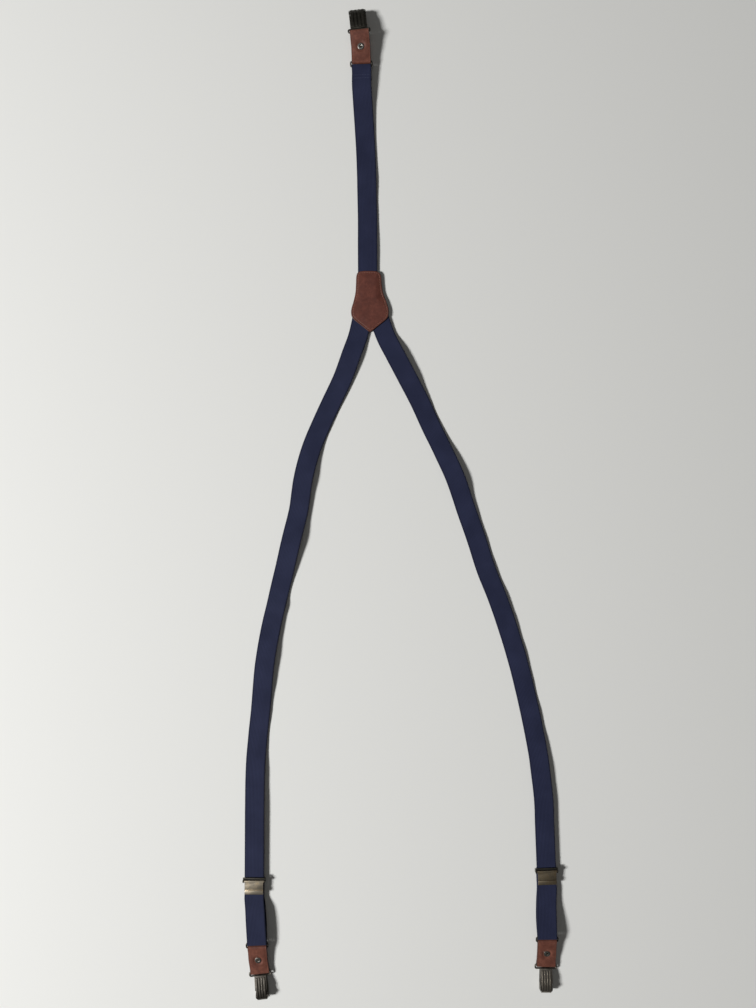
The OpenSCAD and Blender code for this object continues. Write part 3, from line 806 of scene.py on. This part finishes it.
patch = {
    "outline": [(-1.5, 31.6), (5.5, 31.3), (9.6, 30), (11.6, 26), (12.2, 18), (13.6, 9), (17, 0),
                (19.2, -8), (19, -14), (16.4, -18.6), (9, -24.6), (2, -30.2), (0, -31), (-2, -30.2),
                (-9, -24.6), (-16.4, -18.6), (-19, -14), (-19.2, -8), (-17, 0), (-15, 9), (-14.4, 18),
                (-14, 26), (-12.4, 30), (-8.5, 31.3)],
    "middle": (-0.5, -3.0),
    "edgeTop": 2.72,      # the outer leather's top where the two leathers meet
    "edgeUnder": 1.42,
    "topRise": 0.88,      # and how far the straps inside lift it
    "underRise": 0.9,
    "liningTop": 1.28,
    "grooveInset": 1.9,
    "grooveDepth": 0.22,
    "grooveWidth": 0.38,
    "edgeRound": 0.5,
    "dome": 0.35,
    "rings": 64,
    "coverReach": 16,     # from a strap's spine to where its lift has died away
    "coverFade": 8,
}
strapSpines = [((-2.4, -4), (-2.4, 37)), ((-7.5, -8), (-12.9, -37)), ((7.5, -8), (17, -37)),
               ((-4, -6), (4, -6)), ((0, -6), (0, -27))]


def fromSegment(points, start, end):
    start, end = np.array(start, float), np.array(end, float)
    d = end - start
    t = np.clip(((points - start) @ d) / (d @ d), 0, 1)
    return np.linalg.norm(points - start - t[:, None] * d, axis=1)


def fromOutline(points, outline):
    nearest = np.full(len(points), 1e9)
    for a, b in zip(outline, np.roll(outline, -1, axis=0)):
        nearest = np.minimum(nearest, fromSegment(points, a, b))
    return nearest


def strapCover(points):
    # 1 over a strap, 0 where the two leathers meet
    nearest = np.min([fromSegment(points, a, b) for a, b in strapSpines], axis=0)
    return smooth((patch["coverReach"] - nearest) / patch["coverFade"])


def patchTop(points, inset):
    rounded = patch["edgeRound"]
    drop = rounded * (1 - np.sqrt(np.clip(1 - np.clip(1 - inset / rounded, 0, 1) ** 2, 0, 1)))
    groove = patch["grooveDepth"] * np.exp(-((inset - patch["grooveInset"]) / patch["grooveWidth"]) ** 2)
    dome = patch["dome"] * smooth((inset - 2.2) / 7)
    return patch["edgeTop"] + patch["topRise"] * strapCover(points) + dome - drop - groove


def buildPatch(name, node, material, top, bottom):
    # rings from the middle out over the top, round the edge, and back in underneath
    outline = closedOutline(patch["outline"])
    middle = np.array(patch["middle"])
    shares = 1 - (np.arange(patch["rings"]) / (patch["rings"] - 1)) ** 1.7 * 0.985
    layers, heights, rims = [], [], []

    def addRings(chosen, surface):
        for share in chosen:
            ring = middle + (outline - middle) * share
            inset = fromOutline(ring, outline)
            layers.append(ring)
            heights.append(surface(ring, inset))
            rims.append(1 - smooth(inset / 0.7))

    addRings(shares[::-1], top)
    layers.append(outline + unit(outline - middle) * 0.06)
    heights.append((heights[-1] + bottom(outline, np.zeros(len(outline)))) / 2)
    rims.append(np.ones(len(outline)))
    addRings(shares[::3], bottom)
    points = np.concatenate([np.column_stack([ring, height]) for ring, height in zip(layers, heights)])
    faces = tubeFaces(len(layers), len(outline))
    piece = finishMesh(name, points, faces, material, "yoke", rim=np.concatenate(rims), sharpAngle=60)
    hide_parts(node)
    return outline


def underside(points, inset):
    return patch["edgeUnder"] + patch["underRise"] * strapCover(points)


def liningTop(points, inset):
    return patch["liningTop"] - 0.25 * (1 - smooth(inset / 0.35))


def liningBottom(points, inset):
    groove = 0.2 * np.exp(-((inset - patch["grooveInset"]) / 0.4) ** 2)
    return 0.02 + 0.3 * (1 - smooth(inset / 0.4)) + groove


patchThread = {"pitch": 2.5, "length": 1.95, "radius": 0.21, "rise": 0.06, "sink": 0.24}
outline = buildPatch("patch_outer_leather", "back_patch_front",
                     finishes["patchLeather"], patchTop, underside)
buildPatch("patch_lining_leather", "back_patch_lining",
           finishes["liningLeather"], liningTop, liningBottom)


def sewPatch():
    inward = np.array(patch["middle"]) - outline
    tangent = unit(np.roll(outline, -1, axis=0) - np.roll(outline, 1, axis=0))
    normal = np.column_stack([tangent[:, 1], -tangent[:, 0]])
    normal *= np.sign(np.sum(normal * inward, axis=1, keepdims=True))
    seam = outline + normal * patch["grooveInset"]
    seam = np.vstack([seam, seam[:1]])
    inset = fromOutline(seam, outline)
    above = np.column_stack([seam, patchTop(seam, inset)])
    below = np.column_stack([seam, liningBottom(seam, inset)])
    upward = np.tile((0.0, 0.0, 1.0), (len(seam), 1))
    sewRow("patch_stitching_outer", above, upward, patchThread, finishes["brownThread"], "yoke")
    flush = {**patchThread, "rise": 0.0}
    sewRow("patch_stitching_lining", below, -upward, flush, finishes["brownThread"], "yoke")


sewPatch()
print("patch sewn")

# leather tabs

tab = {
    "length": 27.5,       # from the ring's bar to the clip's bail
    "width": 19.5,
    "thickness": 1.2,
    "foldRadius": 1.7,    # from a bar's axis to the middle of the leather
    "edgeRound": 0.38,
    "creaseInset": 1.5,
    "creaseDepth": 0.09,
    "pillow": 0.38,       # how far the leather stands up between the folds and the rivet
    "hole": 1.78,         # radius of the rivet's hole
    "rivetRim": 3.4,      # radius that the rivet presses flat
    "seam": 6.0,          # where the strip's ends meet on the back, from the rivet towards the clip
}


def tabSection():
    half, thick, rounded = tab["width"] / 2, tab["thickness"] / 2, tab["edgeRound"]
    flat = half - rounded
    top = np.concatenate([np.linspace(-flat, -flat + 3, 13), np.linspace(-flat + 3.6, flat - 3.6, 19),
                          np.linspace(flat - 3, flat, 13)])
    crease = tab["creaseDepth"] * np.exp(-((np.abs(top) - half + tab["creaseInset"]) / 0.28) ** 2)
    turn = np.radians([67, 45, 22, 0])
    ring = np.concatenate([turn, -turn[-2::-1]])
    edgeAcross = flat + rounded * np.cos(ring)
    edgeDepth = (thick - rounded) * np.sign(np.round(np.sin(ring), 6)) + rounded * np.sin(ring)
    bottom = np.linspace(flat, -flat, 15)
    across = np.concatenate([top, edgeAcross, bottom, -edgeAcross])
    depth = np.concatenate([thick - crease, edgeDepth, np.full(15, -thick), -edgeDepth])
    outer = np.concatenate([np.ones(len(top)), np.linspace(1, 0, len(ring)),
                            np.zeros(15), np.linspace(0, 1, len(ring))])
    rim = np.concatenate([0.35 * smooth((np.abs(top) - half + 0.9) / 0.6), np.ones(len(ring)),
                          np.full(15, 0.2), np.ones(len(ring))])
    return across, depth, outer, rim


def ringFrame(name):
    place = sides[name]
    turn = Matrix.Rotation(math.radians(place["yaw"]), 4, "Z")
    lean = Matrix.Rotation(math.radians(place["pitch"]), 4, "X")
    return Matrix.Translation(Vector(place["end"])) @ (turn @ lean)


def intoWorld(matrix, points):
    m = np.array(matrix)
    return np.array(points) @ m[:3, :3].T + m[:3, 3]


def bendToClip(points, name):
    # past the rivet the tab swings in its own plane towards the clip
    place = sides[name]
    pivot = tab["length"] / 2
    angle = np.radians(place["clipYaw"] - place["yaw"]) * smooth((points[:, 1] - pivot + 4) / 8)
    c, s = np.cos(angle), np.sin(angle)
    x, y = points[:, 0], points[:, 1] - pivot
    return np.column_stack([x * c - y * s, pivot + x * s + y * c, points[:, 2]])


def tabLine():
    # the leather's middle line: from the seam on the back round the bail, along the front and round the ring
    length, thick = tab["length"], tab["thickness"] / 2
    middle = length / 2
    seam = middle + tab["seam"]
    fold = foldArc(length, 0, tab["foldRadius"])
    turnBack = [(-y + length, z) for y, z in fold[::-1]]
    level = thick + 0.01
    clipHalf = [(seam + 0.12, -level), (length - 6, -level - 0.02), (length - 3.2, -1.0), fold[0]]
    front = [fold[-1], (length - 3.2, 1.0), (length - 6.5, level), (middle + 3, level),
             (middle - 3, level), (6.5, level), (3.2, 1.0), turnBack[0]]
    ringHalf = [turnBack[-1], (3.2, -1.0), (6.5, -level), (middle, -level), (seam - 0.12, -level)]
    line = np.vstack([splineThrough(clipHalf, 16), fold[1:-1], splineThrough(front, 16), turnBack[1:-1],
                      splineThrough(ringHalf, 16)])
    return np.column_stack([np.zeros(len(line)), line, np.full(len(line), 180.0), np.zeros(len(line))])


def punchHole(piece, frameMatrix):
    radius = tab["hole"] * mm
    punch = bpy.data.meshes.new("punch")
    work = bmesh.new()
    bmesh.ops.create_cone(work, cap_ends=True, segments=40, radius1=radius, radius2=radius, depth=12 * mm)
    shift = Matrix.Translation(Vector((0, tab["length"] / 2, 0)) * mm)
    placed = Matrix.Translation(Vector(frameMatrix.translation) * mm) @ frameMatrix.to_3x3().to_4x4() @ shift
    work.transform(placed)
    work.to_mesh(punch)
    work.free()
    cutter = bpy.data.objects.new("punch", punch)
    bpy.context.scene.collection.objects.link(cutter)
    modifier = piece.modifiers.new("punch", "BOOLEAN")
    modifier.operation = "DIFFERENCE"
    modifier.solver = "EXACT"
    modifier.object = cutter
    bpy.context.view_layer.update()
    punched = bpy.data.meshes.new_from_object(piece.evaluated_get(bpy.context.evaluated_depsgraph_get()))
    piece.modifiers.clear()
    piece.data = punched
    bpy.data.objects.remove(cutter)
    piece.data.set_sharp_from_angle(angle=math.radians(50))


def buildTab(name):
    centre, ahead, side, along = makeStations(tabLine(), 0.8, 11)
    half, middle = tab["width"] / 2, tab["length"] / 2

    def relief(stationAlong, across):
        # the leather stands up round the rivet, dips at its rim and lies flat towards its own edges
        y = np.interp(stationAlong, along, centre[:, 1])
        isFront = np.interp(stationAlong, along, centre[:, 2]) > 0
        fromRivet = np.hypot(across, y - middle)
        outside = smooth((fromRivet - tab["rivetRim"]) / 2.6)
        near = 1 - smooth((fromRivet - 7) / 7)
        fromFold = smooth((middle - np.abs(y - middle)) / 4)
        puff = outside * near * (1 - np.abs(across / half) ** 4)
        puff = puff + 0.5 * outside * (1 - np.abs(across / half) ** 3) * fromFold
        dent = 0.14 * np.exp(-((fromRivet - 3.7) / 0.7) ** 2)
        return (puff * tab["pillow"] - dent) * np.where(isFront, 1.0, 0.5)

    piece = layRibbon(f"{name}_tab_leather", (centre, ahead, side, along), tabSection(),
                      finishes["tabLeather"], lift=relief)
    points = np.array([v.co for v in piece.data.vertices]) / mm
    frameMatrix = ringFrame(name) @ Matrix.Translation((0, ringPitch, 0))
    world = intoWorld(frameMatrix, bendToClip(points, name))
    piece.data.vertices.foreach_set("co", (world * mm).astype(np.float32).ravel())
    punchHole(piece, frameMatrix)
    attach(piece, f"{name}_tab")
    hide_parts(f"{name}_leather_tab")


for name in sides:
    buildTab(name)
print("tabs folded")

# sewing on the straps

strapThread = {"pitch": 1.7, "length": 1.35, "radius": 0.16, "rise": 0.05, "sink": 0.22}
sewnHalf = 8.4              # half the length of a row across a strap
sewnAt = (231.6, 229.0)     # the two rows on the back strap, along Y


def sewAcross(name, stations, at, body):
    # a row of stitches straight across a strap at one station
    centre, ahead, side, along = stations
    i = int(np.argmin(np.abs(along - at)))
    outward = unit(np.cross(side[i], ahead[i]))
    reach = np.linspace(-sewnHalf, sewnHalf, 30)[:, None]
    path = centre[i] + side[i] * reach + outward * (webbing["thickness"] / 2)
    sewRow(name, path, np.tile(outward, (30, 1)), strapThread, finishes["navyThread"], body)


def sewBackStrap():
    centre, along = backStations[0], backStations[3]
    top = int(np.argmax(centre[:, 1]))
    over, under = slice(None, top), slice(top, None)
    for label, part, y in (("a", over, sewnAt[0]), ("b", over, sewnAt[1]), ("under", under, sewnAt[0])):
        at = along[part][np.argmin(np.abs(centre[part, 1] - y))]
        sewAcross(f"back_strap_stitching_{label}", backStations, at, "back_strap")


sewBackStrap()
print("straps sewn")

# metal parts: the CAD shapes with softened edges and plated finishes

edgeSoftness = {"clip_base": 0.14, "clip_cover": 0.16, "clip_pin": 0.1, "slider_bracket": 0.12,
                "slider_flap": 0.14, "slider_pin": 0.08, "rivet": 0.0, "ring": 0.0}
metalFinish = {"clip_base": "steel", "clip_cover": "steel", "clip_pin": "steel",
               "slider_bracket": "darkSteelAndShade", "slider_flap": "brass", "slider_pin": "darkSteelAndShade",
               "rivet": "nickel", "ring": "darkSteelAndShade"}
# pieces given a lighter or darker copy of their kind's material: painted shade on the back clip and the
# right adjuster's flap, painted light on the right clip's cover
paintedLightPieces = {"back_clip_base": "darkSteelAndShade", "back_clip_cover": "darkSteelAndShade", "back_clip_pin": "darkSteelAndShade",
              "right_slider_flap": "paintedShadeBrass", "right_clip_cover": "paintedLitSteel"}


def dressMetal(node):
    kind = next(k for k in edgeSoftness if node.endswith(k))
    source = nodes[node]
    mesh = source.data.copy()
    mesh.name = f"{node}_metal"
    if "custom_normal" in mesh.attributes:
        mesh.attributes.remove(mesh.attributes["custom_normal"])
    work = bmesh.new()
    work.from_mesh(mesh)
    bmesh.ops.remove_doubles(work, verts=work.verts, dist=1e-6)
    if edgeSoftness[kind]:
        bmesh.ops.dissolve_limit(work, angle_limit=math.radians(1), verts=work.verts, edges=work.edges)
        bent = math.radians(28)
        edges = [e for e in work.edges if len(e.link_faces) == 2 and e.calc_face_angle(0) > bent]
        bmesh.ops.bevel(work, geom=edges, offset=edgeSoftness[kind] * mm, segments=2, profile=0.6,
                        affect="EDGES", clamp_overlap=True)
    bmesh.ops.recalc_face_normals(work, faces=work.faces)
    work.to_mesh(mesh)
    work.free()
    mesh.shade_smooth()
    mesh.set_sharp_from_angle(angle=math.radians(34))
    mesh.materials.clear()
    mesh.materials.append(finishes[paintedLightPieces.get(node, metalFinish[kind])])
    piece = bpy.data.objects.new(f"{node}_metal", mesh)
    bpy.context.scene.collection.objects.link(piece)
    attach(piece, source["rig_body"])
    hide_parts(node)


for node in sorted(nodes):
    if any(node.endswith(kind) for kind in edgeSoftness):
        dressMetal(node)
print("metal dressed")
